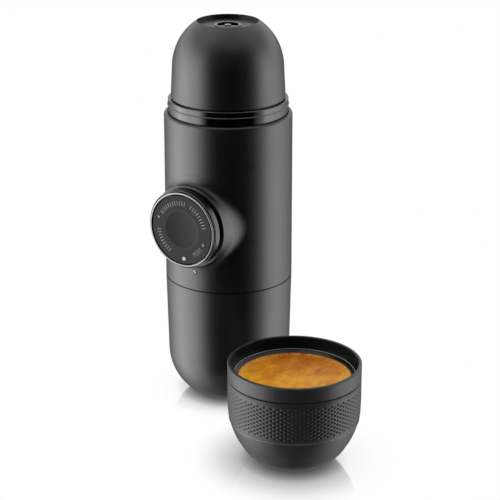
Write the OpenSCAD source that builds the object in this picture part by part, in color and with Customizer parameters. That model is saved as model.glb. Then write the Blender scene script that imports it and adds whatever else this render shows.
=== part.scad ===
// Handheld manual espresso maker, standing on its water tank, with its cup beside it.
// Millimetres. +Z is up, the origin is the centre of the tank's base, and the piston
// knob points along -Y. The rest state is the knob pressed in, as it is stored.

/* [Capsule] */
// Outer diameter where the body meets the tank
body_d = 58; // [56:0.5:62]
// How much narrower the body is at its upper lip
body_taper = 0.2; // [0:0.1:1]
// Height of the water tank, from the floor to the seam
tank_h = 58; // [54:1:66]
// Height of the body tube, from the seam to its upper lip
body_h = 77; // [75:1:84]
// Height of the outlet head above the body's lip
head_h = 41; // [39:1:46]
// Wall of the body shell
body_wall = 2.5; // [2:0.1:2.8]
// Width of the dark seam between body and tank
seam = 0.4; // [0.2:0.1:0.8]

/* [Water tank] */
// Wall of the tank
tank_wall = 2.2; // [1.6:0.1:2.6]
// Slope of the tank's wall, in degrees
tank_draft = 1.3; // [0.5:0.1:2]
// Radius of the rounded bottom
tank_round = 25; // [22:0.5:26]
// Diameter of the flat base
tank_base_d = 32; // [28:1:34]
// Depth of the neck inside the tank's mouth
neck_depth = 10; // [8:0.5:13]

/* [Outlet head] */
// Slope of the dome's lower wall, in degrees
dome_draft = 3; // [2:0.2:4]
// How far the dome's round lies inside the collar
dome_step = 2; // [1.8:0.1:2.6]
// Diameter of the recessed top
recess_d = 27.4; // [24:0.2:28]
// Depth of the recessed top
recess_depth = 2; // [1:0.1:2.6]
// Wall of the dome
dome_wall = 2.4; // [1.8:0.1:2.8]
// Diameter of the outlet hole
outlet_d = 9.8; // [8:0.2:10.4]
// Wall of the skirt that stands between the collar and the brew chamber
skirt_wall = 1.1; // [1:0.1:1.6]

/* [Collar] */
// How far the collar that the cup screws onto lies inside the body's lip
collar_step = 1.9; // [1.7:0.1:2.5]
// Wall of the collar
collar_wall = 1.4; // [1.2:0.1:1.8]
// Height of the collar above the body's lip
collar_h = 6.5; // [5:0.1:7.5]
// Height of the thread ridge above the body's lip
ridge_h = 3.6; // [2.5:0.1:4]
// How far the ridge stands out
ridge_out = 0.3; // [0.2:0.05:0.5]

/* [Brew chamber] */
// Wall of the brew chamber
chamber_wall = 2.7; // [2.2:0.1:2.7]
// Depth from the chamber's mouth to its floor
chamber_depth = 19; // [18:0.5:21]
// Wall of the filter basket
basket_wall = 1; // [0.6:0.1:1.2]
// Hole radius in the filter disc
filter_hole_r = 0.6; // [0.4:0.1:0.8]
// Hole radius in the shower screen
shower_hole_r = 0.8; // [0.5:0.1:1]

/* [Pump] */
// Height of the piston axis above the seam
piston_rise = 31; // [30:0.5:33]
// Bore of the pump cylinder
pump_d = 14.4; // [13:0.2:15]
// Wall of the pump cylinder
pump_wall = 2.3; // [1.8:0.1:2.4]
// Travel of the piston
stroke = 18; // [14:0.5:18]
// Diameter of the piston rod
rod_d = 6; // [5:0.2:6.4]
// Diameter of the valve balls
ball_d = 4.8; // [4.4:0.1:5]
// Diameter of the ports
port_d = 3.2; // [2.6:0.1:3.4]

/* [Knob] */
// Diameter of the knob's band
knob_d = 35.8; // [35:0.2:37]
// Width of the polished ring round the face
knob_ring_w = 0.85; // [0.6:0.05:1.2]
// Diameter of the concave pad in the face
pad_d = 17.8; // [16:0.2:20]
// Distance from the body's surface to the knob's face
face_rise = 8.1; // [7.6:0.1:9.5]
// Outer diameter of the knob's sleeve
sleeve_d = 28.4; // [27.8:0.2:28.6]
// How far the bayonet lugs stand out of the sleeve
lug_out = 1.4; // [1:0.1:1.5]
// Width of a bayonet lug, in degrees
lug_angle = 30; // [20:1:34]

/* [Cup] */
// Play between the cup's lip and the collar's ridge
cup_play = 0.15; // [0.1:0.05:0.4]
// Wall of the rim band
rim_wall = 0.65; // [0.5:0.05:1]
// Height of the cup
cup_h = 45.3; // [44:0.1:50]
// Radius of the cup's rounded bottom
cup_round = 20.7; // [19:0.1:22]
// Height of the satin rim band
rim_h = 6.4; // [5.6:0.1:8]
// Height of the knurled grip band
grip_h = 18.7; // [14:0.1:20]
// Width of the groove between rim band and grip band
rim_groove = 0.6; // [0.4:0.1:1]
// Thickness of the grip band
grip_t = 1.3; // [1:0.1:1.4]
// How far the espresso lies below the ring in the liner
espresso_drop = 1.5; // [1.3:0.1:12]
// Where the cup stands, to the right of the unit
cup_x = 65.5; // [62:0.5:80]
// Where the cup stands, in front of the unit
cup_y = -47.05; // [-60:0.05:-40]

/* [Fits] */
// Gap between pieces that come apart
loose = 0.3; // [0.25:0.05:0.4]
// Gap between pieces that are pressed or glued together
snug = 0.1; // [0.05:0.01:0.15]
// Gap of a sliding or turning fit
running = 0.05; // [0.03:0.01:0.08]

/* [Hidden] */
$fn = 96;

cut = 1; // how far a cutter runs past the face that it cuts

// Capsule
body_r = body_d / 2;
body_top_r = body_r - body_taper / 2;
shell_r = body_r - body_wall;
seam_z = tank_h;
lip_z = tank_h + body_h;
top_z = lip_z + head_h;
lip_round = 1.2;
shell_ledge_r = shell_r - 1.3;
shell_ledge_t = 2;

// Tank neck and tank mouth
neck_z = seam_z - neck_depth;
neck_top_z = seam_z + 8;
plate_t = 4;
neck_r = tank_mouth_r() - loose;
neck_wall = 2.5;
seal_t = 2;
seal_w = 1.5;
mouth_z = seam_z - seam / 2;
function tank_mouth_r() = body_r - 2.8;
function tank_outer_r(z) = body_r - (seam_z - z) * tan(tank_draft);
vent_y = -12;
vent_r = 2;

// Collar, and the skirt between it and the brew chamber
collar_r = body_top_r - collar_step;
collar_z = lip_z - 9;
collar_top_z = lip_z + collar_h;
collar_bore_r = collar_r - collar_wall;
collar_edge = 0.3;
ridge_z = lip_z + ridge_h;
ridge_t = 0.7;
skirt_out_r = collar_bore_r - loose;
skirt_in_r = skirt_out_r - skirt_wall;
skirt_z = lip_z - 6;

// Brew chamber, from its mouth down
chamber_out_r = skirt_in_r - loose;
chamber_r = chamber_out_r - chamber_wall;
chamber_top_z = lip_z - 1;
chamber_floor_z = chamber_top_z - chamber_depth;
chamber_floor_t = 3;
chamber_z = chamber_floor_z - chamber_floor_t;
chamber_ledge_w = 1.7;
screen_z = chamber_floor_z + 2;
screen_t = 1;
shower_seal_t = 1.6;
basket_z = screen_z + screen_t + shower_seal_t + loose;
basket_r = chamber_r - loose;
basket_flange_r = chamber_out_r - 0.5;
basket_flange_t = 1.5;
basket_lip_w = 1.5;
disc_t = 0.7;
gasket_z = chamber_top_z + basket_flange_t;
gasket_t = 2;
gasket_w = 2.6;

// Outlet head
dome_round = collar_r - dome_step;
dome_z = collar_top_z + loose;
dome_edge = 0.2;
recess_lip = 0.3;
dome_centre_z = top_z - sqrt(pow(dome_round, 2) - pow(recess_d / 2 + recess_lip, 2));
dome_r = dome_round / cos(dome_draft) + (dome_centre_z - dome_z) * tan(dome_draft);
funnel_z = gasket_z + gasket_t;
funnel_flange_t = 2;
funnel_wall = 1.4;
funnel_mouth_r = skirt_in_r - 3.8;
recess_z = top_z - recess_depth;
funnel_neck_lip = 1.2;
head_ledge_w = 1.6;
nozzle_wall = 0.7;
nozzle_r = outlet_d / 2 + nozzle_wall;
nozzle_rim_r = nozzle_r + 0.3;
nozzle_rim_t = 0.4;
nozzle_z = recess_z - dome_wall - 4.5;
funnel_top_z = recess_z - dome_wall - loose;
star_t = 1.3;
star_z = recess_z - star_t;
star_arm_w = 1.1;
star_hub_r = 1.5;
star_hub_rise = 0.3;
star_turn = 33.4; // one arm points away from whoever faces the knob from its right

// Pump, along the piston axis: distances are from the unit's axis towards the knob
piston_z = seam_z + piston_rise;
pump_r = pump_d / 2;
pump_out_r = pump_r + pump_wall;
rod_r = rod_d / 2;
head_back = -9;
head_len = 7;
head_front = head_back + head_len;
port_at = -10.5;
pump_end = -12;
pump_end_t = 2.5;
gland_at = head_front + stroke + 0.4;
pump_front = gland_at + 1.6;
gland_t = 1.5;
spring_seat_at = 12;
spring_seat_t = 2;
piston_r = pump_r - 2 * running;
piston_seal_w = 1.2;
piston_seal_depth = 0.9;
piston_seal_at = [head_back + 1.4, head_front - 2.6];
socket_depth = 3;

// Valves: each cage stands in a column of the pump
ball_r = ball_d / 2;
port_r = port_d / 2;
cage_base_t = 2.5;
cage_r = 4;
cage_bore_r = ball_r + 0.4;
cage_h = 11.4;
column_r = cage_r + 1.6;
column_foot_r = 8.5;
column_foot_t = 2.5;
inlet_z = neck_top_z;
outlet_z = chamber_z - cage_h - snug;
ball_rise = cage_base_t + sqrt(pow(ball_r + running, 2) - pow(port_r, 2));
valve_spring_r = 1.7;
valve_wire_r = 0.2;
valve_curls = 3;

// Front of the boss, and of the knob's face
boss_front = body_r + 3;
face_out = body_r + face_rise;

// Knob, along the piston axis
knob_r = knob_d / 2;
knob_gap = 1.3;
band_at = boss_front + knob_gap;
band_front = face_out - 0.7;
band_edge = 0.2;
band_lip_w = 0.35;
groove_w = 0.45;
groove_depth = 1.2;
groove_r = knob_r - band_lip_w;
groove_at = band_front - groove_depth;
knob_ring_r = groove_r - groove_w;
ring_in_r = knob_ring_r - knob_ring_w;
ring_rise = 0.2;
ring_edge = 0.35;
face_gap = 0.4;
face_edge = 0.2;
face_r = ring_in_r - face_gap;
cap_front = face_out - 2.6;
cap_plate_t = 2.8;
plate_at = cap_front - cap_plate_t;
sleeve_r = sleeve_d / 2;
sleeve_wall = 1.4;
sleeve_bore_r = sleeve_r - sleeve_wall;
sleeve_at = 11.5;
hub_r = 5.5;
hub_len = 3.8;
hub_at = plate_at - hub_len;
rod_collar_r = 4.5;
rod_collar_t = 1.4;
screw_r = 4.4;
screw_t = 1;
pad_depth = 0.6;
dot_rise = 0.25;
small_dot_r = 0.6;
small_dots = [[-12.2, 4.1], [11.6, -4.8]];
large_dot_r = 0.9;
large_dot = [1.2, -13.2];
return_wire_r = 0.6;
return_spring_r = (sleeve_bore_r + pump_out_r) / 2;
return_curls = 7;

// Boss and bayonet ring
boss_r = 18.9;
boss_root_r = 21.6;
boss_root_at = 12;
boss_flare_at = 18;
boss_edge = 0.7;
guide_front = boss_front - 0.2;
guide_t = 3.5;
guide_back = guide_front - guide_t;
guide_r = boss_r - 1.9;
guide_bore_r = sleeve_r + loose;
boss_bore_r = guide_r - 0.8;
lug_t = 3;
lug_at = guide_back - loose - lug_t;
lug_r = sleeve_r + lug_out;
notch_angle = lug_angle + 6;
notch_r = lug_r + loose;

// Index dot on the body, under the knob
index_dot_z = seam_z + 9;
index_dot_r = 0.9;
index_dot_x = 1;

// Cup, from its lip in and from its base up
cup_lip_r = collar_r + ridge_out + cup_play;
liner_t = 0.5;
liner_lip_r = cup_lip_r + liner_t;
cup_r = liner_lip_r + snug + rim_wall;
cup_bowl_r = cup_r - 0.3;
cup_arc_x = cup_bowl_r - cup_round;
cup_foot_cut = 0.7; // how much of the round the flat foot takes off
cup_arc_z = cup_round - cup_foot_cut;
rim_z = cup_h - rim_h;
rim_edge = 0.3;
rim_cap_t = 0.4;
grip_top_z = rim_z - rim_groove;
grip_z = grip_top_z - grip_h;
cup_wall_r = cup_r - grip_t - snug;
cup_shell_wall = 0.7;
liner_r = cup_wall_r - cup_shell_wall - snug;
liner_step_z = cup_h - 5.3;
liner_cone_top = liner_step_z - 0.4;
liner_cone_low = liner_step_z - 1.3;
liner_bowl_r = liner_r - liner_t - 1.3;
liner_round = liner_bowl_r - cup_arc_x;
espresso_z = liner_step_z - espresso_drop;
cup_lug_z = cup_h - 3.4;
cup_lug_t = 1.2;
cup_lug_angle = 16;
cup_lug_r = collar_r + 2 * running;
cup_lug_turn = 33.4; // the cup's lugs as the cup is set down in front of the unit

charcoal = [0.10, 0.10, 0.105];
gloss_black = [0.02, 0.02, 0.02];
satin_grey = [0.22, 0.22, 0.23];
steel = [0.75, 0.75, 0.77];
chrome = [0.88, 0.88, 0.9];
rubber_grey = [0.18, 0.18, 0.18];
clear_grey = [0.55, 0.57, 0.6];
crema_brown = [0.72, 0.45, 0.17];

// Points of an arc from angle a0 to a1 about (x, y), both ends included
function arc(x, y, r, a0, a1, n = 16) =
    [for (i = [0:n]) let (a = a0 + (a1 - a0) * i / n) [x + r * cos(a), y + r * sin(a)]];

// Ring about Z from z0 to z1
module ring(r_out, r_in, z0, z1) {
    rotate_extrude() translate([r_in, z0]) square([r_out - r_in, z1 - z0]);
}

// Disc about Z from z0 to z1
module disc(r, z0, z1) {
    translate([0, 0, z0]) cylinder(r = r, h = z1 - z0);
}

// Sector of a ring, centred on angle a
module sector(r_out, r_in, z0, z1, a, w) {
    rotate([0, 0, a - w / 2]) rotate_extrude(angle = w)
        translate([r_in, z0]) square([r_out - r_in, z1 - z0]);
}

// Places children so that their +Z is the piston axis, towards the knob
module along_piston() {
    translate([0, 0, piston_z]) rotate([90, 0, 0]) children();
}

// Holes in rings of a hexagonal pattern: 1, 7, 19, 37 for 0 to 3 rings
module hex_holes(rings, pitch, r, z0, z1) {
    for (i = [-rings:rings], j = [-rings:rings])
        if (abs(i + j) <= rings)
            translate([pitch * (i + j / 2), pitch * j * sin(60), 0])
                disc(r, z0, z1, $fn = 24);
}

// Spring along Z from z0 to z1: one tube that winds up by a loop, with flat faces as triangles
module spring(r, wire_r, curls, z0, z1) {
    per_curl = 8;
    sides = 6;
    steps = curls * per_curl;
    rise = z1 - z0 - 2 * wire_r;
    points = [
        for (i = [0:steps], k = [0:sides - 1])
            let (turn = 360 * i / per_curl, side = 360 * k / sides)
                [
                    (r + wire_r * cos(side)) * cos(turn),
                    (r + wire_r * cos(side)) * sin(turn),
                    z0 + wire_r + rise * i / steps + wire_r * sin(side)
                ]
    ];
    walls = [
        for (i = [0:steps - 1], k = [0:sides - 1])
            let (a = i * sides + k, b = i * sides + (k + 1) % sides)
                each [[a, a + sides, b + sides], [a, b + sides, b]]
    ];
    last = steps * sides;
    caps = [
        for (k = [1:sides - 2])
            each [[0, k, k + 1], [last, last + k + 1, last + k]]
    ];
    polyhedron(points = points, faces = concat(walls, caps));
    echo(least_gap_between_curls = rise / curls - 2 * wire_r);
}

// ---------------------------------------------------------------- body

// Section of the boss about the piston axis: a rounded front edge and a flare to its root
module boss_profile() {
    flare_len = boss_front - boss_edge - boss_flare_at;
    flare_r = (pow(flare_len, 2) + pow(boss_root_r - boss_r, 2)) / (2 * (boss_root_r - boss_r));
    flare_a = asin(flare_len / flare_r);
    polygon(concat(
        [[0, boss_root_at], [boss_root_r, boss_root_at]],
        arc(boss_r + flare_r, boss_front - boss_edge, flare_r, 180 + flare_a, 180, 8),
        arc(boss_r - boss_edge, boss_front - boss_edge, boss_edge, 0, 90, 4),
        [[0, boss_front]]
    ));
}

module body_shell() {
    color(charcoal) difference() {
        union() {
            rotate_extrude() polygon(concat(
                [[0, seam_z + seam / 2], [body_r, seam_z + seam / 2]],
                arc(body_top_r - lip_round, lip_z - lip_round, lip_round, 0, 90, 6),
                [[0, lip_z]]
            ));
            along_piston() rotate_extrude() boss_profile();
        }
        // inside, with a ledge for the tank neck below and one for the brew chamber above
        rotate_extrude() polygon([
            [0, seam_z - cut],
            [shell_r, seam_z - cut],
            [shell_r, neck_top_z],
            [shell_ledge_r, neck_top_z],
            [shell_ledge_r, neck_top_z + shell_ledge_t],
            [shell_r, neck_top_z + 2 * shell_ledge_t],
            [shell_r, chamber_z - 2 * shell_ledge_t],
            [shell_ledge_r, chamber_z - shell_ledge_t],
            [shell_ledge_r, chamber_z],
            [shell_r, chamber_z],
            [shell_r, collar_z],
            [collar_r + loose, collar_z],
            [collar_r + loose, lip_z + cut],
            [0, lip_z + cut]
        ]);
        along_piston() disc(boss_bore_r, 0, boss_front + cut);
        along_piston() disc(guide_r + snug, guide_back, boss_front + cut);
        // seat of the index dot
        translate([index_dot_x, 0, index_dot_z]) rotate([90, 0, 0])
            disc(index_dot_r + snug, body_r - 0.8, body_r + cut);
    }
}

module index_dot() {
    color(steel) translate([index_dot_x, 0, index_dot_z]) rotate([90, 0, 0])
        disc(index_dot_r, body_r - 0.8, body_r + 0.1);
}

module tank_neck() {
    color(gloss_black) difference() {
        rotate_extrude() polygon([
            [neck_r - neck_wall, neck_z],
            [neck_r, neck_z],
            [neck_r, seam_z + seam / 2 + loose],
            [shell_r - snug, seam_z + seam / 2 + loose],
            [shell_r - snug, neck_top_z],
            [0, neck_top_z],
            [0, neck_top_z - plate_t],
            [neck_r - neck_wall, neck_top_z - plate_t]
        ]);
        translate([0, -port_at, 0]) disc(port_r, neck_top_z - plate_t - cut, neck_top_z + cut);
        translate([0, vent_y, 0]) disc(vent_r, neck_top_z - plate_t - cut, neck_top_z + cut);
    }
}

// Umbrella valve that lets air into the tank: a stem, a bulb below and a disc above
module vent_valve() {
    plate_z = neck_top_z - plate_t;
    color(rubber_grey) translate([0, vent_y, 0]) {
        disc(vent_r - snug, plate_z - 1, neck_top_z + 0.5);
        disc(vent_r + 1.8, neck_top_z, neck_top_z + 0.8);
        rotate_extrude() polygon([
            [0, plate_z - 2.6], [0.8, plate_z - 2.6], [vent_r + 0.7, plate_z], [0, plate_z]
        ]);
    }
}

module valve_column(z0, z1) {
    translate([0, -port_at, 0]) disc(column_r, z0, z1);
}

module pump_cylinder() {
    color(clear_grey) difference() {
        union() {
            along_piston() {
                disc(pump_out_r, pump_end - pump_end_t, pump_front);
                ring(sleeve_bore_r - 2 * loose, pump_r + 1,
                    spring_seat_at - spring_seat_t, spring_seat_at);
            }
            valve_column(neck_top_z, piston_z);
            valve_column(piston_z, chamber_z);
            translate([0, -port_at, 0])
                disc(column_foot_r, neck_top_z, neck_top_z + column_foot_t);
            translate([0, -port_at, 0])
                disc(column_foot_r, chamber_z - column_foot_t, chamber_z);
        }
        along_piston() disc(pump_r, pump_end, pump_front + cut);
        translate([0, -port_at, 0]) {
            disc(port_r, neck_top_z, chamber_z);
            disc(cage_r + snug, inlet_z - cut, inlet_z + cage_h + snug);
            disc(cage_r + snug, outlet_z, chamber_z + cut);
        }
    }
}

// Cap that keeps the piston in the cylinder and guides the rod
module cylinder_gland() {
    color(satin_grey) along_piston() difference() {
        union() {
            disc(pump_r - snug, gland_at, pump_front);
            disc(pump_out_r, pump_front, pump_front + gland_t);
        }
        disc(rod_r + 2 * snug, gland_at - cut, pump_front + gland_t + cut);
    }
}

module valve_cage(z) {
    color(satin_grey) translate([0, -port_at, z]) difference() {
        disc(cage_r, 0, cage_h);
        disc(port_r, -cut, cage_base_t + cut);
        disc(cage_bore_r, cage_base_t, cage_h + cut);
    }
}

module inlet_valve_cage() {
    valve_cage(inlet_z);
}

module outlet_valve_cage() {
    valve_cage(outlet_z);
}

module valve_ball(z) {
    color(steel) translate([0, -port_at, z + ball_rise]) sphere(r = ball_r);
}

module inlet_ball() {
    valve_ball(inlet_z);
}

module outlet_ball() {
    valve_ball(outlet_z);
}

module valve_spring(z) {
    color(steel) translate([0, -port_at, z])
        spring(valve_spring_r, valve_wire_r, valve_curls,
            ball_rise + sqrt(pow(ball_r, 2) - pow(valve_spring_r, 2)) + loose, cage_h);
}

module inlet_spring() {
    valve_spring(inlet_z);
}

module outlet_spring() {
    valve_spring(outlet_z);
}

module brew_chamber() {
    color(satin_grey) difference() {
        rotate_extrude() polygon([
            [0, chamber_z],
            [shell_r - snug, chamber_z],
            [shell_r - snug, chamber_floor_z],
            [chamber_out_r, chamber_floor_z],
            [chamber_out_r, chamber_top_z],
            [chamber_r, chamber_top_z],
            [chamber_r, screen_z],
            [chamber_r - chamber_ledge_w, screen_z],
            [chamber_r - chamber_ledge_w, chamber_floor_z],
            [0, chamber_floor_z]
        ]);
        translate([0, -port_at, 0]) disc(port_r, chamber_z - cut, chamber_floor_z + cut);
    }
}

module shower_screen() {
    color(steel) difference() {
        disc(chamber_r - loose, screen_z, screen_z + screen_t);
        hex_holes(2, 7, shower_hole_r, screen_z - cut, screen_z + screen_t + cut);
    }
}

module shower_seal() {
    color(rubber_grey)
        ring(chamber_r - loose, chamber_r - loose - 1.5,
            screen_z + screen_t, screen_z + screen_t + shower_seal_t);
}

module cup_collar() {
    color(gloss_black) rotate_extrude() polygon([
        [collar_bore_r, collar_z],
        [collar_r, collar_z],
        [collar_r, ridge_z - ridge_t / 2],
        [collar_r + ridge_out, ridge_z - ridge_t / 6],
        [collar_r + ridge_out, ridge_z + ridge_t / 6],
        [collar_r, ridge_z + ridge_t / 2],
        [collar_r, collar_top_z - collar_edge],
        [collar_r - collar_edge, collar_top_z],
        [collar_bore_r, collar_top_z]
    ]);
}

// Bayonet ring in the boss: the knob's lugs pass its two notches and turn behind it
module piston_guide() {
    color(gloss_black) along_piston() difference() {
        ring(guide_r, guide_bore_r, guide_back, guide_front);
        for (a = [0, 180])
            sector(notch_r, guide_bore_r - cut, guide_back - cut, guide_front + cut,
                a, notch_angle);
    }
}

// ---------------------------------------------------------------- plunger and knob

module plunger_rod() {
    color(steel) along_piston() {
        disc(rod_r, head_front - socket_depth, cap_front - screw_t);
        disc(rod_collar_r, hub_at - loose / 3 - rod_collar_t, hub_at - loose / 3);
    }
}

module piston_head() {
    color(satin_grey) along_piston() difference() {
        disc(piston_r, head_back, head_front);
        for (at = piston_seal_at)
            ring(piston_r + cut, piston_r - piston_seal_depth, at, at + piston_seal_w);
        disc(rod_r + running, head_front - socket_depth, head_front + cut);
    }
}

module piston_seals() {
    color(rubber_grey) along_piston()
        for (at = piston_seal_at)
            ring(pump_r - running, piston_r - piston_seal_depth, at, at + piston_seal_w);
}

module rod_screw() {
    color(steel) along_piston() disc(screw_r, cap_front - screw_t, cap_front - snug);
}

module return_spring() {
    color(steel) along_piston()
        spring(return_spring_r, return_wire_r, return_curls, spring_seat_at, plate_at - snug);
}

// Section of the knob's band: a groove inside its front edge, and a seat for ring and face
module knob_band_profile() {
    polygon([
        [0, band_at],
        [knob_r - band_edge, band_at],
        [knob_r, band_at + band_edge],
        [knob_r, band_front - band_edge],
        [knob_r - band_edge, band_front],
        [groove_r, band_front],
        [groove_r, groove_at],
        [knob_ring_r + snug, groove_at],
        [knob_ring_r + snug, cap_front],
        [0, cap_front]
    ]);
}

module knob_cap() {
    color(satin_grey) along_piston() difference() {
        union() {
            ring(sleeve_r, sleeve_bore_r, sleeve_at, band_at);
            disc(sleeve_r, plate_at, cap_front);
            rotate_extrude() knob_band_profile();
            disc(hub_r, hub_at, plate_at + cut);
            for (a = [0, 180])
                sector(lug_r, sleeve_r - 0.5, lug_at, lug_at + lug_t, a, lug_angle);
        }
        disc(rod_r + running, hub_at - cut, cap_front + cut);
        disc(screw_r + 2 * snug, cap_front - screw_t - snug, cap_front + cut);
    }
}

module knob_ring() {
    ring_top = face_out + ring_rise;
    color(chrome) along_piston() rotate_extrude() polygon(concat(
        [[ring_in_r, cap_front], [knob_ring_r, cap_front]],
        arc(knob_ring_r - ring_edge, ring_top - ring_edge, ring_edge, 0, 90, 4),
        [[ring_in_r + face_edge, ring_top], [ring_in_r, ring_top - face_edge]]
    ));
}

module knob_face() {
    pad_round = (pow(pad_d / 2, 2) + pow(pad_depth, 2)) / (2 * pad_depth);
    pad_a = asin(pad_d / 2 / pad_round);
    color(charcoal) along_piston() rotate_extrude() polygon(concat(
        [[0, cap_front], [face_r, cap_front], [face_r, face_out - face_edge],
            [face_r - face_edge, face_out]],
        arc(0, face_out + pad_round - pad_depth, pad_round, 270 + pad_a, 270, 6)
    ));
}

// Three dots on the face: two small ones, and a large one that lines up with the index dot
module knob_dots() {
    color(steel) along_piston() {
        for (at = small_dots)
            translate([at.x, at.y, 0]) disc(small_dot_r, face_out, face_out + dot_rise);
        translate([large_dot.x, large_dot.y, 0])
            disc(large_dot_r, face_out, face_out + dot_rise);
    }
}

// ---------------------------------------------------------------- water tank

module tank_seal() {
    color(rubber_grey)
        ring(tank_mouth_r() - 0.2, tank_mouth_r() - 0.2 - seal_w, neck_z - seal_t, neck_z);
}

module tank_shell() {
    // the bottom's arc touches the sloping wall and ends at the flat base
    arc_x = tank_arc_x();
    arc_z = tank_arc_z();
    ledge_z = neck_z - seal_t;
    inner_round = tank_round - tank_wall;
    floor_a = asin((arc_z - tank_wall) / inner_round);
    base_a = asin(arc_z / tank_round);
    color(charcoal) rotate_extrude() polygon(concat(
        [[0, 0]],
        arc(arc_x, arc_z, tank_round, -base_a, -tank_draft, 20),
        [
            [tank_outer_r(mouth_z), mouth_z],
            [tank_mouth_r(), mouth_z],
            [tank_mouth_r(), ledge_z],
            [tank_mouth_r() - seal_w - 0.3, ledge_z],
            [tank_mouth_r() - seal_w - 0.3, ledge_z - 1],
            [tank_outer_r(ledge_z - 3) - tank_wall, ledge_z - 3]
        ],
        arc(arc_x, arc_z, inner_round, -tank_draft, -floor_a, 16),
        [[0, tank_wall]]
    ));
}

// Centre of the bottom's arc: the arc leaves the flat base at its edge and touches the wall
function tank_arc_z() = tank_base_solve(tank_round / 2, tank_round);
function tank_arc_x() = tank_arc_x_at(tank_arc_z());
function tank_arc_x_at(z) = tank_outer_r(z) - tank_round / cos(tank_draft);
function tank_base_r(z) = tank_arc_x_at(z) + sqrt(pow(tank_round, 2) - z * z);
// The base is wider the lower the arc's centre lies, so halving the interval finds it
function tank_base_solve(low, high, n = 30) =
    n == 0 ? (low + high) / 2
    : tank_base_r((low + high) / 2) > tank_base_d / 2
        ? tank_base_solve((low + high) / 2, high, n - 1)
        : tank_base_solve(low, (low + high) / 2, n - 1);

// ---------------------------------------------------------------- outlet head

module head_gasket() {
    color(rubber_grey)
        ring(skirt_in_r - 0.6, skirt_in_r - 0.6 - gasket_w, gasket_z, gasket_z + gasket_t);
}

// The wall rises from the collar, leans in and runs into the dome's arc
module head_shell() {
    rim_a = acos((recess_d / 2 + recess_lip) / dome_round);
    inner_round = dome_round - dome_wall;
    inner_top_z = recess_z - dome_wall;
    inner_a = asin((inner_top_z - dome_centre_z) / inner_round);
    shoulder_z = funnel_z + funnel_flange_t;
    color(charcoal) rotate_extrude() polygon(concat(
        [
            [skirt_in_r, skirt_z],
            [skirt_out_r, skirt_z],
            [skirt_out_r, dome_z],
            [dome_r - dome_edge, dome_z],
            [dome_r, dome_z + dome_edge]
        ],
        arc(0, dome_centre_z, dome_round, dome_draft, rim_a, 20),
        [
            [recess_d / 2, top_z],
            [recess_d / 2, recess_z],
            [nozzle_r + snug, recess_z],
            [nozzle_r + snug, inner_top_z]
        ],
        arc(0, dome_centre_z, inner_round, inner_a, 0, 12),
        [
            [skirt_in_r - head_ledge_w, shoulder_z + 1],
            [skirt_in_r - head_ledge_w, shoulder_z],
            [skirt_in_r, shoulder_z]
        ]
    ));
}

// Cone inside the dome that leads the coffee to the nozzle
module head_funnel() {
    neck_r = nozzle_r + snug;
    mouth_r = funnel_mouth_r;
    color(gloss_black) rotate_extrude() polygon([
        [mouth_r, funnel_z],
        [skirt_in_r - snug, funnel_z],
        [skirt_in_r - snug, funnel_z + funnel_flange_t],
        [mouth_r + funnel_wall, funnel_z + funnel_flange_t],
        [neck_r + funnel_wall, nozzle_z - 1],
        [neck_r + funnel_wall, funnel_top_z],
        [neck_r, funnel_top_z],
        [neck_r, nozzle_z],
        [neck_r - funnel_neck_lip, nozzle_z],
        [neck_r - funnel_neck_lip, nozzle_z - 1]
    ]);
}

// Outlet: a raised rim round the hole, and a three-armed spout in it
module outlet_nozzle() {
    color(gloss_black) {
        difference() {
            union() {
                disc(nozzle_r, nozzle_z, recess_z + nozzle_rim_t);
                disc(nozzle_rim_r, recess_z, recess_z + nozzle_rim_t);
            }
            disc(outlet_d / 2, nozzle_z - cut, recess_z + nozzle_rim_t + cut);
        }
        disc(star_hub_r, star_z, recess_z + star_hub_rise);
        for (a = [90, 210, 330]) rotate([0, 0, a + star_turn])
            translate([0, -star_arm_w / 2, star_z])
                cube([outlet_d / 2 + nozzle_wall / 2, star_arm_w, star_t]);
    }
}

module filter_basket() {
    disc_z = chamber_top_z + basket_flange_t - 0.7 - disc_t;
    color(steel) rotate_extrude() polygon([
        [basket_r - basket_wall, basket_z],
        [basket_r, basket_z],
        [basket_r, chamber_top_z],
        [basket_flange_r, chamber_top_z],
        [basket_flange_r, gasket_z],
        [basket_r - basket_wall - basket_lip_w, gasket_z],
        [basket_r - basket_wall - basket_lip_w, disc_z + disc_t],
        [basket_r - basket_wall, disc_z + disc_t]
    ]);
}

module filter_disc() {
    disc_z = chamber_top_z + basket_flange_t - 0.7 - disc_t;
    color(steel) difference() {
        disc(basket_r - basket_wall - snug, disc_z, disc_z + disc_t);
        hex_holes(3, 5, filter_hole_r, disc_z - cut, disc_z + disc_t + cut);
    }
}

// ---------------------------------------------------------------- cup

module at_cup() {
    translate([cup_x, cup_y, 0]) children();
}

module cup_shell() {
    base_a = asin(cup_arc_z / cup_round);
    bowl_a = asin((cup_arc_z - grip_z) / cup_round);
    inner_r = cup_wall_r - cup_shell_wall;
    inner_round = inner_r - cup_arc_x;
    top_z = liner_step_z - liner_t;
    color(charcoal) at_cup() rotate_extrude() polygon(concat(
        [[0, 0]],
        arc(cup_arc_x, cup_arc_z, cup_round, -base_a, -bowl_a, 18),
        [[cup_wall_r, grip_z], [cup_wall_r, top_z], [inner_r, top_z]],
        arc(cup_arc_x, cup_arc_z, inner_round, 0, -90, 16),
        [[0, cup_arc_z - inner_round]]
    ));
}

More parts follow.
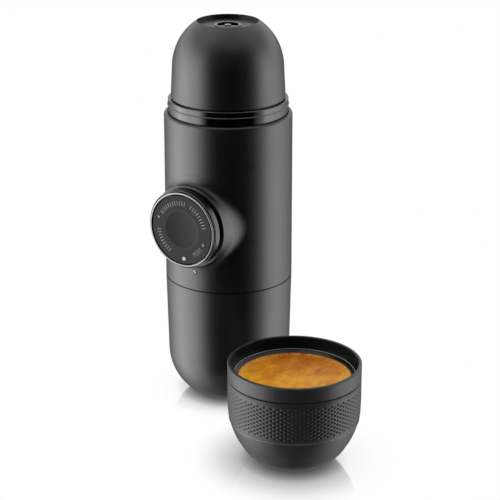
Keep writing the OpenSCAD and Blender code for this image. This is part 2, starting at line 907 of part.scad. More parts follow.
// Liner with a ring-shaped step, a cone below it and a bowl that stands clear of the shell
module cup_liner() {
    out_r = liner_bowl_r + liner_t;
    out_round = liner_round + liner_t;
    lip_top_z = cup_h - rim_cap_t;
    color(gloss_black) at_cup() union() {
        rotate_extrude() polygon(concat(
            [[0, cup_arc_z - out_round]],
            arc(cup_arc_x, cup_arc_z, out_round, -90, 0, 16),
            [
                [out_r, liner_cone_low - liner_t / 2],
                [liner_r, liner_cone_top - liner_t / 2],
                [liner_r, liner_step_z - liner_t],
                [liner_lip_r, liner_step_z - liner_t],
                [liner_lip_r, lip_top_z],
                [cup_lip_r, lip_top_z],
                [cup_lip_r, liner_step_z],
                [liner_r - liner_t, liner_step_z],
                [liner_r - liner_t, liner_cone_top],
                [liner_bowl_r, liner_cone_low]
            ],
            arc(cup_arc_x, cup_arc_z, liner_round, 0, -90, 16),
            [[0, cup_arc_z - liner_round]]
        ));
        for (a = [90, 210, 330])
            sector(cup_lip_r + liner_t / 2, cup_lug_r, cup_lug_z, cup_lug_z + cup_lug_t,
                a + cup_lug_turn, cup_lug_angle);
    }
}

module cup_rim_ring() {
    in_r = liner_lip_r + snug;
    color(satin_grey) at_cup() rotate_extrude() polygon([
        [in_r, rim_z],
        [cup_r, rim_z],
        [cup_r, cup_h - rim_edge],
        [cup_r - rim_edge, cup_h],
        [cup_lip_r, cup_h],
        [cup_lip_r, cup_h - rim_cap_t],
        [in_r, cup_h - rim_cap_t]
    ]);
}

module cup_grip_band() {
    color(charcoal) at_cup() ring(cup_r, cup_wall_r + snug, grip_z, grip_top_z);
}

// The coffee that fills the liner's bowl, and rests on its floor
module espresso() {
    fill_round = liner_round - snug;
    fill_arc_z = cup_arc_z - snug;
    color(crema_brown) at_cup() rotate_extrude() polygon(concat(
        [[0, fill_arc_z - fill_round]],
        arc(cup_arc_x, fill_arc_z, fill_round, -90, 0, 16),
        [[liner_bowl_r - snug, espresso_z], [0, espresso_z]]
    ));
}

body_shell();
index_dot();
tank_neck();
vent_valve();
pump_cylinder();
cylinder_gland();
inlet_valve_cage();
outlet_valve_cage();
brew_chamber();
shower_screen();
shower_seal();
cup_collar();
piston_guide();
inlet_ball();
inlet_spring();
outlet_ball();
outlet_spring();
plunger_rod();
piston_head();
piston_seals();
rod_screw();
return_spring();
knob_cap();
knob_ring();
knob_face();
knob_dots();
tank_seal();
tank_shell();
head_gasket();
head_shell();
head_funnel();
outlet_nozzle();
filter_basket();
filter_disc();
cup_shell();
cup_liner();
cup_rim_ring();
cup_grip_band();
espresso();
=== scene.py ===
"""Looks of the handheld manual espresso maker: camera, light, floor, materials and fine pieces.

Lengths are in metres unless a name or a comment says otherwise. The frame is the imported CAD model:
Z is up, the capsule's axis is the Z axis, and the piston knob points along -Y.
"""

import math

import bmesh
import bpy
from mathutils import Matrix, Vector, noise


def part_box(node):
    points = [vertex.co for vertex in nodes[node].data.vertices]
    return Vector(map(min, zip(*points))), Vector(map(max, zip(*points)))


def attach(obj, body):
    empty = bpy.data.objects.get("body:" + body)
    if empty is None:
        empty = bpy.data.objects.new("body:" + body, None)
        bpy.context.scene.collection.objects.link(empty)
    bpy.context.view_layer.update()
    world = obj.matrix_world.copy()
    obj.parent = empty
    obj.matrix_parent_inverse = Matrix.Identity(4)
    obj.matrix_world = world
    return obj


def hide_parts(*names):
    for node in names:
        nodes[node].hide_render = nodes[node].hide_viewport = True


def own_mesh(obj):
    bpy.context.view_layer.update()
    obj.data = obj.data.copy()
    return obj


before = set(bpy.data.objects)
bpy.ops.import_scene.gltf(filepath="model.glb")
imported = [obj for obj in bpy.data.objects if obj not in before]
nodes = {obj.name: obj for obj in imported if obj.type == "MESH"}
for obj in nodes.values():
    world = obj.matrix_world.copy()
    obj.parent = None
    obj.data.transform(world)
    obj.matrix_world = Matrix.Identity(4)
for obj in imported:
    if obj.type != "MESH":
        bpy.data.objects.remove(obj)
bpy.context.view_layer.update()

MM = 0.001
TAU = 2 * math.pi
X_WAY = Vector((1, 0, 0))
Y_WAY = Vector((0, 1, 0))
Z_WAY = Vector((0, 0, 1))

# Radius of the capsule's body and tank, and height of the piston's axis
BODY_R = 29.0 * MM
AXIS_Z = 89 * MM


# ---------------------------------------------------------------------------
# Camera, at the photograph's angle
# ---------------------------------------------------------------------------

CAMERA_PLACE = (0.4283, -0.6318, 0.3477)
VIEW_AZIMUTH = math.radians(33.4)
VIEW_DOWN = math.radians(20.106)
SENSOR_MM = 36
LENS_MM = 126.68
CLIP_NEAR = 0.01
CLIP_FAR = 20


def photo_camera():
    """Camera that sees the object as the photograph does."""
    data = bpy.data.cameras.new("camera")
    data.sensor_width = SENSOR_MM
    data.lens = LENS_MM
    data.clip_start = CLIP_NEAR
    data.clip_end = CLIP_FAR
    camera = bpy.data.objects.new("camera", data)
    camera.location = CAMERA_PLACE
    camera.rotation_euler = (math.pi / 2 - VIEW_DOWN, 0, VIEW_AZIMUTH)
    bpy.context.scene.collection.objects.link(camera)
    return camera


bpy.context.scene.camera = photo_camera()
bpy.context.scene.view_settings.view_transform = "Standard"


# ---------------------------------------------------------------------------
# Shader helpers
# ---------------------------------------------------------------------------


def add(tree, kind, **settings):
    """A shader node with its settings."""
    node = tree.nodes.new(kind)
    for key, value in settings.items():
        setattr(node, key, value)
    return node


def maths(tree, operation, first, second=None, clamp=False):
    """A Math node on sockets or numbers; gives its output."""
    node = add(tree, "ShaderNodeMath", operation=operation, use_clamp=clamp)
    for index, value in enumerate((first, second)):
        if value is None:
            continue
        if isinstance(value, (int, float)):
            node.inputs[index].default_value = value
        else:
            tree.links.new(value, node.inputs[index])
    return node.outputs[0]


def spread(tree, value, from_low, from_high, to_low, to_high, smooth=False):
    """A Map Range node on a socket; gives its output."""
    node = add(tree, "ShaderNodeMapRange")
    if smooth:
        node.interpolation_type = "SMOOTHSTEP"
    tree.links.new(value, node.inputs["Value"])
    node.inputs["From Min"].default_value = from_low
    node.inputs["From Max"].default_value = from_high
    node.inputs["To Min"].default_value = to_low
    node.inputs["To Max"].default_value = to_high
    return node.outputs["Result"]


def ramp(tree, value, stops):
    """A Color Ramp node on a socket, from stops of (place, colour); gives its output."""
    node = add(tree, "ShaderNodeValToRGB")
    tree.links.new(value, node.inputs["Fac"])
    elements = node.color_ramp.elements
    while len(elements) < len(stops):
        elements.new(0.5)
    for element, (place, colour) in zip(elements, stops):
        element.position = place
        element.color = (*colour, 1)
    return node.outputs["Color"]


def blended(tree, share, first, second, way="MIX"):
    """A colour Mix node; its share and colours are sockets or values; gives its output."""
    node = add(tree, "ShaderNodeMix", data_type="RGBA", blend_type=way)
    for socket, value in (("Factor", share), ("A", first), ("B", second)):
        if isinstance(value, bpy.types.NodeSocket):
            tree.links.new(value, node.inputs[socket])
        elif socket == "Factor":
            node.inputs[socket].default_value = value
        else:
            node.inputs[socket].default_value = (*value, 1)
    return node.outputs["Result"]


def distance_from(tree, point, axes=(1, 1, 1)):
    """Distance in object space from a point, along the axes whose factor is 1; gives its output."""
    place = add(tree, "ShaderNodeTexCoord")
    offset = add(tree, "ShaderNodeVectorMath", operation="SUBTRACT")
    tree.links.new(place.outputs["Object"], offset.inputs[0])
    offset.inputs[1].default_value = point
    chosen = add(tree, "ShaderNodeVectorMath", operation="MULTIPLY")
    tree.links.new(offset.outputs[0], chosen.inputs[0])
    chosen.inputs[1].default_value = axes
    length = add(tree, "ShaderNodeVectorMath", operation="LENGTH")
    tree.links.new(chosen.outputs[0], length.inputs[0])
    return length.outputs["Value"]


# ---------------------------------------------------------------------------
# Light: a studio all round, with a tall bright panel on each side and a pale one overhead
# ---------------------------------------------------------------------------

# Radiance at the object's level by degrees round it: 0 is where the camera stands, and the
# camera's left is positive
STUDIO_RING = (
    (-180, 0.06), (-150, 0.3), (-128, 1.2), (-112, 2.5), (-98, 3.3), (-88, 4.3), (-76, 4.4),
    (-70, 2.2), (-60, 0.9), (-54, 0.4), (-48, 0.02), (0, 0.0), (40, 0.02), (48, 1.2), (56, 4.2),
    (64, 5.4), (84, 5.4), (90, 5.9), (106, 5.6), (116, 3.0), (132, 1.2), (150, 0.3), (180, 0.06),
)
RING_PEAK = 6.0
# Changes with the height over the object's level: from and to degrees, from and to radiance,
# or from and to share of it
RING_LOW_FADE = (-66, -25, 0.12, 1.0)
RING_HIGH_FADE = (2, 42, 1.0, 0.2)
OVERHEAD = (32, 62, 0.0, 0.9)
BACKDROP_FADE = (1, 7, 0.0, 1.0)
UNDER_GLOW = (-32, -50, 0.0, 0.5)
UNDER_FADE = (-50, -78, 1.0, 0.25)
# Backdrop by how much of a direction points to the camera: from and to share, from and to radiance
BACKDROP = (-0.15, -0.6, 0.0, 1.0)


def by_height(tree, height, change):
    """A smooth change with the height over the object's level; gives its output."""
    from_degrees, to_degrees, from_value, to_value = change
    return spread(tree, height, math.radians(from_degrees), math.radians(to_degrees),
                  from_value, to_value, smooth=True)


def studio_radiance(tree):
    """Radiance of the studio in a ray's direction; gives its output."""
    to_left = (-math.cos(VIEW_AZIMUTH), -math.sin(VIEW_AZIMUTH), 0)
    to_camera = (math.sin(VIEW_AZIMUTH), -math.cos(VIEW_AZIMUTH), 0)
    direction = add(tree, "ShaderNodeTexCoord")
    shares = []
    for axis in (to_left, to_camera, Z_WAY):
        share = add(tree, "ShaderNodeVectorMath", operation="DOT_PRODUCT")
        tree.links.new(direction.outputs["Generated"], share.inputs[0])
        share.inputs[1].default_value = axis
        shares.append(share.outputs["Value"])
    leftward, cameraward, upward = shares
    turn = spread(tree, maths(tree, "ARCTAN2", leftward, cameraward), -math.pi, math.pi, 0.0, 1.0)
    stops = [(degrees / 360 + 0.5, [radiance / RING_PEAK] * 3) for degrees, radiance in STUDIO_RING]
    ring = maths(tree, "MULTIPLY", ramp(tree, turn, stops), RING_PEAK)
    height = maths(tree, "ARCSINE", upward)
    ring_share = maths(tree, "MULTIPLY", by_height(tree, height, RING_LOW_FADE),
                       by_height(tree, height, RING_HIGH_FADE))
    panels = maths(tree, "MULTIPLY", ring, ring_share)
    overhead = by_height(tree, height, OVERHEAD)
    backdrop = maths(tree, "MULTIPLY", spread(tree, cameraward, *BACKDROP, smooth=True),
                     by_height(tree, height, BACKDROP_FADE))
    under = maths(tree, "MULTIPLY", by_height(tree, height, UNDER_GLOW),
                  by_height(tree, height, UNDER_FADE))
    return maths(tree, "ADD", maths(tree, "ADD", panels, overhead),
                 maths(tree, "ADD", backdrop, under))


def studio_world():
    """World that lights the object as the studio does, and is plain white to the camera."""
    world = bpy.data.worlds.new("studio")
    world.use_nodes = True
    tree = world.node_tree
    tree.nodes.clear()
    studio = add(tree, "ShaderNodeBackground")
    studio.inputs["Color"].default_value = (1, 1, 1, 1)
    tree.links.new(studio_radiance(tree), studio.inputs["Strength"])
    white = add(tree, "ShaderNodeBackground")
    white.inputs["Color"].default_value = (1, 1, 1, 1)
    white.inputs["Strength"].default_value = 1.0
    ray = add(tree, "ShaderNodeLightPath")
    pick = add(tree, "ShaderNodeMixShader")
    tree.links.new(ray.outputs["Is Camera Ray"], pick.inputs["Fac"])
    tree.links.new(studio.outputs[0], pick.inputs[1])
    tree.links.new(white.outputs[0], pick.inputs[2])
    surface = add(tree, "ShaderNodeOutputWorld")
    tree.links.new(pick.outputs[0], surface.inputs["Surface"])
    return world


bpy.context.scene.world = studio_world()


# ---------------------------------------------------------------------------
# Materials
# ---------------------------------------------------------------------------

# Most of a noise node's values lie between these
NOISE_LOW = 0.3
NOISE_HIGH = 0.7
# Size of the slow changes in colour and sheen of moulded plastic, and how far its grain
# changes the roughness
DRIFT_SIZE = 9 * MM
GRAIN_SHEEN = 0.02
# Roughness of metal about its mean, and strength and depth of its drawn marks
MARK_SHEEN = (-0.04, 0.05)
MARK_STRENGTH = 0.15
MARK_DEPTH = 0.004 * MM


def shade(name, base, rough, metallic=0.0, specular=0.5):
    """A Principled material; gives the material, its tree and its main node."""
    material = bpy.data.materials.new(name)
    material.use_nodes = True
    main = material.node_tree.nodes["Principled BSDF"]
    main.inputs["Base Color"].default_value = (*base, 1)
    main.inputs["Roughness"].default_value = rough
    main.inputs["Metallic"].default_value = metallic
    main.inputs["Specular IOR Level"].default_value = specular
    return material, material.node_tree, main


def speckle(tree, size, detail=3.0, rough=0.6, stretch=(1, 1, 1)):
    """Noise whose spots are about that size in metres, in object space; gives its output."""
    place = add(tree, "ShaderNodeTexCoord")
    mapping = add(tree, "ShaderNodeMapping")
    mapping.inputs["Scale"].default_value = stretch
    tree.links.new(place.outputs["Object"], mapping.inputs["Vector"])
    grain = add(tree, "ShaderNodeTexNoise")
    grain.inputs["Scale"].default_value = 1 / size
    grain.inputs["Detail"].default_value = detail
    grain.inputs["Roughness"].default_value = rough
    tree.links.new(mapping.outputs[0], grain.inputs["Vector"])
    return grain.outputs["Fac"]


def by_noise(tree, grain, low, high):
    """A value that runs from low to high with a noise socket; gives its output."""
    return spread(tree, grain, NOISE_LOW, NOISE_HIGH, low, high)


def roughen(tree, main, height, strength, depth):
    """Bump from a height socket."""
    bump = add(tree, "ShaderNodeBump")
    bump.inputs["Strength"].default_value = strength
    bump.inputs["Distance"].default_value = depth
    tree.links.new(height, bump.inputs["Height"])
    tree.links.new(bump.outputs[0], main.inputs["Normal"])


def grey(tone):
    """A neutral colour."""
    return (tone, tone, tone)


def tint(tree, main, mask, dark, light):
    """Base colour that runs from dark to light with a mask socket."""
    tree.links.new(blended(tree, mask, dark, light), main.inputs["Base Color"])


def moulded(name, dark, light, rough, swing, grain_size, grain_depth, strength=0.5, specular=0.5):
    """Moulded plastic: fine etched grain, with slow changes in colour and sheen."""
    material, tree, main = shade(name, dark, rough, specular=specular)
    grain = speckle(tree, grain_size, detail=2.0)
    drift = speckle(tree, DRIFT_SIZE, detail=4.0)
    tint(tree, main, drift, dark, light)
    sheen = maths(tree, "ADD", by_noise(tree, drift, rough - swing, rough + swing),
                  by_noise(tree, grain, -GRAIN_SHEEN, GRAIN_SHEEN))
    tree.links.new(sheen, main.inputs["Roughness"])
    roughen(tree, main, grain, strength, grain_depth)
    return material


def machined(name, dark, light, rough, mark_size, stretch):
    """Turned or brushed metal: fine drawn marks in colour and roughness."""
    material, tree, main = shade(name, dark, rough, metallic=1.0)
    marks = speckle(tree, mark_size, detail=4.0, rough=0.7, stretch=stretch)
    tint(tree, main, marks, dark, light)
    sheen = by_noise(tree, marks, rough + MARK_SHEEN[0], rough + MARK_SHEEN[1])
    tree.links.new(sheen, main.inputs["Roughness"])
    roughen(tree, main, marks, MARK_STRENGTH, MARK_DEPTH)
    return material


# Pad in the middle of the knob's face: its radius, where its edge starts and ends, and its tone
# as a share of the face's
PAD_R = 8.3 * MM
PAD_EDGE = (PAD_R - 0.25 * MM, PAD_R + 0.15 * MM)
PAD_TONE = 0.35
# Painted highlight in a pale line round the pad's edge: where it rises and falls, and the tone it
# adds
HIGHLIGHT_RISE = (PAD_R - 0.1 * MM, PAD_R + 0.3 * MM)
HIGHLIGHT_FALL = (PAD_R + 0.3 * MM, PAD_R + 1.1 * MM)
HIGHLIGHT_TONE = 0.8
# Pebbles: from and to noise, from and to tone; and the share of the tint that a tone of 1 takes
PEBBLE_TONE = (0.35, 0.65, 0.75, 1.2)
FACE_TINT = 0.5


def knob_face_material():
    """Knob's face: pebbled plastic round a dark pad, with a painted highlight at the pad's edge."""
    material, tree, main = shade("knob_matte", grey(0.01), rough=0.5, specular=0.12)
    off_axis = distance_from(tree, (0, 0, AXIS_Z), (1, 0, 1))
    outside_pad = spread(tree, off_axis, *PAD_EDGE, PAD_TONE, 1.0, smooth=True)
    # Painted highlight: a pale line round the pad's edge
    highlight_rise = spread(tree, off_axis, *HIGHLIGHT_RISE, 0.0, HIGHLIGHT_TONE, smooth=True)
    highlight_fall = spread(tree, off_axis, *HIGHLIGHT_FALL, 1.0, 0.0, smooth=True)
    pad_highlight = maths(tree, "MULTIPLY", highlight_rise, highlight_fall)
    pebbles = speckle(tree, 0.55 * MM, detail=2.0)
    tone = maths(tree, "MULTIPLY", maths(tree, "ADD", outside_pad, pad_highlight),
                 spread(tree, pebbles, *PEBBLE_TONE))
    tint(tree, main, maths(tree, "MULTIPLY", tone, FACE_TINT), (0.0015, 0.0015, 0.0016),
         (0.021, 0.021, 0.0215))
    tree.links.new(by_noise(tree, pebbles, 0.46, 0.54), main.inputs["Roughness"])
    roughen(tree, main, maths(tree, "MULTIPLY", pebbles, outside_pad), strength=0.8,
            depth=0.12 * MM)
    return material


# The knob's lowest dot, which is the bright one: a height near it, and how far from that height
# the bright colour ends and the dull one begins
LOW_DOT_Z = 75 * MM
LOW_DOT_REACH = (4 * MM, 5 * MM)


def face_dots_material():
    """Paint of the knob's three dots: the lowest is the bright one."""
    material, tree, main = shade("face_dots", grey(0.4), rough=0.4, specular=0.2)
    off_low_dot = distance_from(tree, (0, 0, LOW_DOT_Z), (0, 0, 1))
    low_dot = spread(tree, off_low_dot, *LOW_DOT_REACH, 1.0, 0.0)
    paint = speckle(tree, 0.3 * MM, detail=2.0)
    tone = maths(tree, "ADD", low_dot, by_noise(tree, paint, -0.05, 0.05), clamp=True)
    tint(tree, main, tone, grey(0.20), grey(0.46))
    return material


body_matte = moulded("body_matte", (0.004, 0.004, 0.0042), (0.006, 0.006, 0.0062), rough=0.36,
                     swing=0.02, grain_size=0.6 * MM, grain_depth=0.06 * MM, strength=0.9)
cup_matte = moulded("cup_matte", (0.013, 0.013, 0.0135), (0.015, 0.015, 0.0155), rough=0.38,
                    swing=0.02, grain_size=0.32 * MM, grain_depth=0.03 * MM, specular=0.3)
knob_matte = knob_face_material()
black_gloss = moulded("black_gloss", grey(0.0004), grey(0.0008), rough=0.11, swing=0.015,
                      grain_size=2.5 * MM, grain_depth=0.006 * MM, strength=0.1)
liner_gloss = moulded("liner_gloss", grey(0.007), grey(0.010), rough=0.14, swing=0.02,
                      grain_size=2.5 * MM, grain_depth=0.006 * MM, strength=0.1, specular=0.18)
knob_satin = moulded("knob_satin", (0.006, 0.006, 0.0065), (0.009, 0.009, 0.0095), rough=0.17,
                     swing=0.02, grain_size=0.5 * MM, grain_depth=0.01 * MM, strength=0.3,
                     specular=0.42)
inner_plastic = moulded("inner_plastic", (0.030, 0.030, 0.032), (0.042, 0.042, 0.045), rough=0.38,
                        swing=0.03, grain_size=0.5 * MM, grain_depth=0.02 * MM)
pump_plastic = moulded("pump_plastic", (0.30, 0.31, 0.32), (0.36, 0.37, 0.38), rough=0.28,
                       swing=0.03, grain_size=0.8 * MM, grain_depth=0.02 * MM)
seal_rubber = moulded("seal_rubber", grey(0.012), grey(0.020), rough=0.62, swing=0.04,
                      grain_size=0.25 * MM, grain_depth=0.02 * MM)
steel = machined("steel", (0.52, 0.52, 0.53), (0.62, 0.62, 0.63), rough=0.24, mark_size=0.5 * MM,
                 stretch=(1, 1, 6))
polished = machined("polished", (0.12, 0.12, 0.123), (0.17, 0.17, 0.174), rough=0.26,
                    mark_size=0.4 * MM, stretch=(1, 5, 1))
satin_band = moulded("satin_band", (0.018, 0.018, 0.019), (0.024, 0.024, 0.025), rough=0.40,
                     swing=0.02, grain_size=0.5 * MM, grain_depth=0.01 * MM, strength=0.3,
                     specular=0.28)
# Near black, for the painted shade in the seam and in the groove
gap_shade = moulded("gap_shade", grey(0.0006), grey(0.0012), rough=0.6, swing=0.03,
                    grain_size=0.4 * MM, grain_depth=0.01 * MM, strength=0.2, specular=0.03)
pale_dot = moulded("pale_dot", grey(0.42), grey(0.5), rough=0.4, swing=0.03,
                   grain_size=0.3 * MM, grain_depth=0.01 * MM, strength=0.2)
face_dots = face_dots_material()
tick_grey = moulded("tick_grey", grey(0.10), grey(0.13), rough=0.4, swing=0.03,
                    grain_size=0.3 * MM, grain_depth=0.01 * MM, strength=0.2)
# Pale, for the painted highlight on the thin raised edge lines
edge_highlight = moulded("edge_highlight", grey(0.15), grey(0.19), rough=0.2, swing=0.02,
                     grain_size=0.6 * MM, grain_depth=0.004 * MM, strength=0.2)

MATERIALS = {
    body_matte: ("body_shell", "tank_shell", "head_shell"),
    cup_matte: ("cup_shell", "cup_grip_band"),
    black_gloss: ("cup_collar", "outlet_nozzle", "tank_neck", "piston_guide"),
    liner_gloss: ("cup_liner",),
    knob_matte: ("knob_face",),
    knob_satin: ("knob_cap",),
    inner_plastic: ("brew_chamber", "head_funnel", "cylinder_gland"),
    pump_plastic: ("pump_cylinder", "inlet_valve_cage", "outlet_valve_cage", "piston_head"),
    seal_rubber: ("vent_valve", "shower_seal", "piston_seals", "tank_seal", "head_gasket"),
    steel: ("shower_screen", "inlet_ball", "inlet_spring", "outlet_ball", "outlet_spring",
            "plunger_rod", "rod_screw", "return_spring", "filter_disc", "filter_basket"),
    polished: ("knob_ring",),
    pale_dot: ("index_dot",),
    face_dots: ("knob_dots",),
    satin_band: ("cup_rim_ring",),
}
for material, members in MATERIALS.items():
    for member in members:
        for material_slot in nodes[member].material_slots:
            material_slot.material = material


# ---------------------------------------------------------------------------
# Mesh helpers
# ---------------------------------------------------------------------------


def make_piece(name, points, faces, material, body, smooth_angle):
    """A closed mesh piece that rides on a body and takes a material."""
    data = bpy.data.meshes.new(name)
    data.from_pydata(points, [], faces)
    data.validate()
    solid = bmesh.new()
    solid.from_mesh(data)
    bmesh.ops.recalc_face_normals(solid, faces=solid.faces)
    solid.to_mesh(data)
    solid.free()
    data.materials.append(material)
    piece = bpy.data.objects.new(name, data)
    bpy.context.scene.collection.objects.link(piece)
    data.shade_smooth()
    data.set_sharp_from_angle(angle=math.radians(smooth_angle))
    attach(piece, body)
    return piece


def loop_faces(rings, count):
    """Faces between closed sections that follow each other all the way round."""
    faces = []
    for ring in range(rings):
        here = ring * count
        there = (ring + 1) % rings * count
        faces += [(here + i, there + i, there + (i + 1) % count, here + (i + 1) % count)
                  for i in range(count)]
    return faces


def turned(profile, steps, centre, across=X_WAY, up=Y_WAY, along=Z_WAY):
    """Points and faces of a closed profile of (radius, place along the axis), turned about it."""
    points = []
    for step in range(steps):
        angle = TAU * step / steps
        out_way = across * math.cos(angle) + up * math.sin(angle)
        points += [centre + out_way * r + along * place for r, place in profile]
    return points, loop_faces(steps, len(profile))


# ---------------------------------------------------------------------------
# Floor: white to the camera, with a contact shadow and a mirror image that fades from the feet
# ---------------------------------------------------------------------------

FLOOR_DEPTH = 0.15 * MM
FLOOR_REACH = 3.0
SHADOW_REACH = 6 * MM
SHADOW_POWER = 0.6
SHADOW_SAMPLES = 16
MIRROR_ROUGH = 0.07
# Strength of each mirror image, and how far from the foot's middle it begins to fade and ends
TANK_MIRROR = 0.82
TANK_MIRROR_REACH = (8 * MM, 38 * MM)
CUP_MIRROR = 0.75
CUP_MIRROR_REACH = (10 * MM, 47 * MM)

cup_low, cup_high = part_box("cup_shell")
CUP_CENTRE = Vector(((cup_low.x + cup_high.x) / 2, (cup_low.y + cup_high.y) / 2, 0))


def floor_material():
    """White that the object darkens where they nearly touch, mixed with a mirror at the feet."""
    material = bpy.data.materials.new("floor_pale")
    material.use_nodes = True
    tree = material.node_tree
    tree.nodes.clear()
    openness = add(tree, "ShaderNodeAmbientOcclusion", samples=SHADOW_SAMPLES)
    openness.inputs["Distance"].default_value = SHADOW_REACH
    white = add(tree, "ShaderNodeEmission")
    strength = maths(tree, "POWER", openness.outputs["AO"], SHADOW_POWER)
    tree.links.new(strength, white.inputs["Strength"])
    mirror = add(tree, "ShaderNodeBsdfGlossy")
    mirror.inputs["Roughness"].default_value = MIRROR_ROUGH
    off_tank = distance_from(tree, (0, 0, 0))
    near_tank = spread(tree, off_tank, *TANK_MIRROR_REACH, TANK_MIRROR, 0.0, smooth=True)
    off_cup = distance_from(tree, CUP_CENTRE)
    near_cup = spread(tree, off_cup, *CUP_MIRROR_REACH, CUP_MIRROR, 0.0, smooth=True)
    seen = add(tree, "ShaderNodeMixShader")
    tree.links.new(maths(tree, "MAXIMUM", near_tank, near_cup), seen.inputs["Fac"])
    tree.links.new(white.outputs[0], seen.inputs[1])
    tree.links.new(mirror.outputs[0], seen.inputs[2])
    surface = add(tree, "ShaderNodeOutputMaterial")
    tree.links.new(seen.outputs[0], surface.inputs["Surface"])
    return material


bpy.ops.mesh.primitive_plane_add(size=2 * FLOOR_REACH, location=(0, 0, -FLOOR_DEPTH))
floor = bpy.context.object
floor.name = "floor"
floor.data.materials.append(floor_material())
# The floor is there for the camera: it adds no light to the object
floor.visible_diffuse = False
floor.visible_glossy = False


# ---------------------------------------------------------------------------
# Cup: a bowl that rounds in towards its foot, and a knurled band that follows it
# ---------------------------------------------------------------------------

band_low, band_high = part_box("cup_grip_band")
BAND_OUTER = (band_high.x - band_low.x) / 2
# Thickness of the band, which lies in a seat in the bowl
BAND_SINK = 1.25 * MM
CUP_STEPS = 160
# How far the real bowl lies inside the plain round one: height and distance, in mm
SLIM_BY_HEIGHT = ((0.0, 0.1), (4.0, 1.1), (9.0, 1.75), (14.0, 1.4), (19.6, 0.55), (24.0, 0.12),
                  (28.0, 0.0), (60.0, 0.0))
# Share of a smooth step in the change between two of those heights; the rest is straight
SLIM_EASE = 0.3

# Small radius at which the bowl's profile ends by its axis
CORE_R = 0.02 * MM
# Section of the bowl: the middle of its outer and inner round, their radii, the straight inner
# wall above them, and the top edge
BOWL_ARC_X = 7.7 * MM
BOWL_ARC_Z = 20.0 * MM
BOWL_ROUND = 20.7 * MM
BOWL_ROUND_STEPS = 24
BOWL_INNER = 17.95 * MM
BOWL_INNER_STEPS = 16
BOWL_WALL_IN = 25.65 * MM
BOWL_WALL_Z = 37.5 * MM
BOWL_TOP_IN = 26.70 * MM
BOWL_TOP_OUT = 27.36 * MM
BOWL_TOP_Z = 39.45 * MM
# Heights between the grip band's edges where its seat bends, and its gaps inside and above
SEAT_BENDS = (26 * MM, 32 * MM)
SEAT_GAP = 0.03 * MM
SEAT_GAP_ABOVE = 0.05 * MM


def slimmer(z):
    """How far in the cup's outside lies at a height."""
    for (low, low_in), (high, high_in) in zip(SLIM_BY_HEIGHT, SLIM_BY_HEIGHT[1:]):
        if z <= high * MM:
            share = max(0.0, (z / MM - low) / (high - low))
            share = share * share * (3 - 2 * share) * SLIM_EASE + share * (1 - SLIM_EASE)
            return (low_in + (high_in - low_in) * share) * MM
    return 0.0


def cup_bowl():
    """Closed profile of the bowl: foot, round, seat of the grip band, top edge, and inside."""
    profile = [(CORE_R, 0.0)]
    lowest = -math.asin(BOWL_ARC_Z / BOWL_ROUND)
    highest = math.asin((band_low.z - BOWL_ARC_Z) / BOWL_ROUND)
    for bend in range(BOWL_ROUND_STEPS + 1):
        angle = lowest + (highest - lowest) * bend / BOWL_ROUND_STEPS
        z = BOWL_ARC_Z + BOWL_ROUND * math.sin(angle)
        profile.append((BOWL_ARC_X + BOWL_ROUND * math.cos(angle) - slimmer(z), z))
    for z in (band_low.z, *SEAT_BENDS, band_high.z):
        profile.append((min(BOWL_TOP_OUT, BAND_OUTER - slimmer(z) - BAND_SINK - SEAT_GAP), z))
    profile.append((BOWL_TOP_OUT, band_high.z + SEAT_GAP_ABOVE))
    profile += [(BOWL_TOP_OUT, BOWL_TOP_Z), (BOWL_TOP_IN, BOWL_TOP_Z), (BOWL_WALL_IN, BOWL_WALL_Z)]
    for bend in range(BOWL_INNER_STEPS + 1):
        angle = -math.pi / 2 * bend / BOWL_INNER_STEPS
        r = BOWL_ARC_X + BOWL_INNER * math.cos(angle)
        profile.append((r, BOWL_ARC_Z + BOWL_INNER * math.sin(angle)))
    profile.append((CORE_R, BOWL_ARC_Z - BOWL_INNER))
    return profile


points, faces = turned(cup_bowl(), CUP_STEPS, CUP_CENTRE)
bowl = make_piece("cup_bowl", points, faces, cup_matte, "cup", smooth_angle=30)
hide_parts("cup_shell")

# Knurl: depth, pits in a row, pitch of the rows, and steps of the mesh to a pit and to a row
KNURL_DEPTH = 0.40 * MM
KNURL_PITS = 56
KNURL_PITCH = 0.93 * MM
KNURL_COLUMN_STEPS = 12
KNURL_ROW_STEPS = 4
# The waves' height where a pit begins, and how steep its side is from there
PIT_EDGE = 0.33
PIT_SLOPE = 2.1
# Plain lands above and below the pits, with the plain part of the first and last row, in rows,
# and the rounding of the band's edges
LAND_TOP = 1.9 * MM
LAND_LOW = 1.4 * MM
PLAIN_ROWS = 0.3
EDGE_TALL = 0.2 * MM
EDGE_IN = 0.15 * MM
# Height share of the band's hidden inside
INSIDE_SHARE = 0.5


def knurl_height(across, up):
    """0 in the pits, 1 on the land; the pits stand in staggered rows at whole numbers."""
    one = (1 + math.cos(TAU * (across + up) / 2)) / 2
    two = (1 + math.cos(TAU * (across - up) / 2)) / 2
    return 1 - min(1.0, max(0.0, (one * two - PIT_EDGE) * PIT_SLOPE))


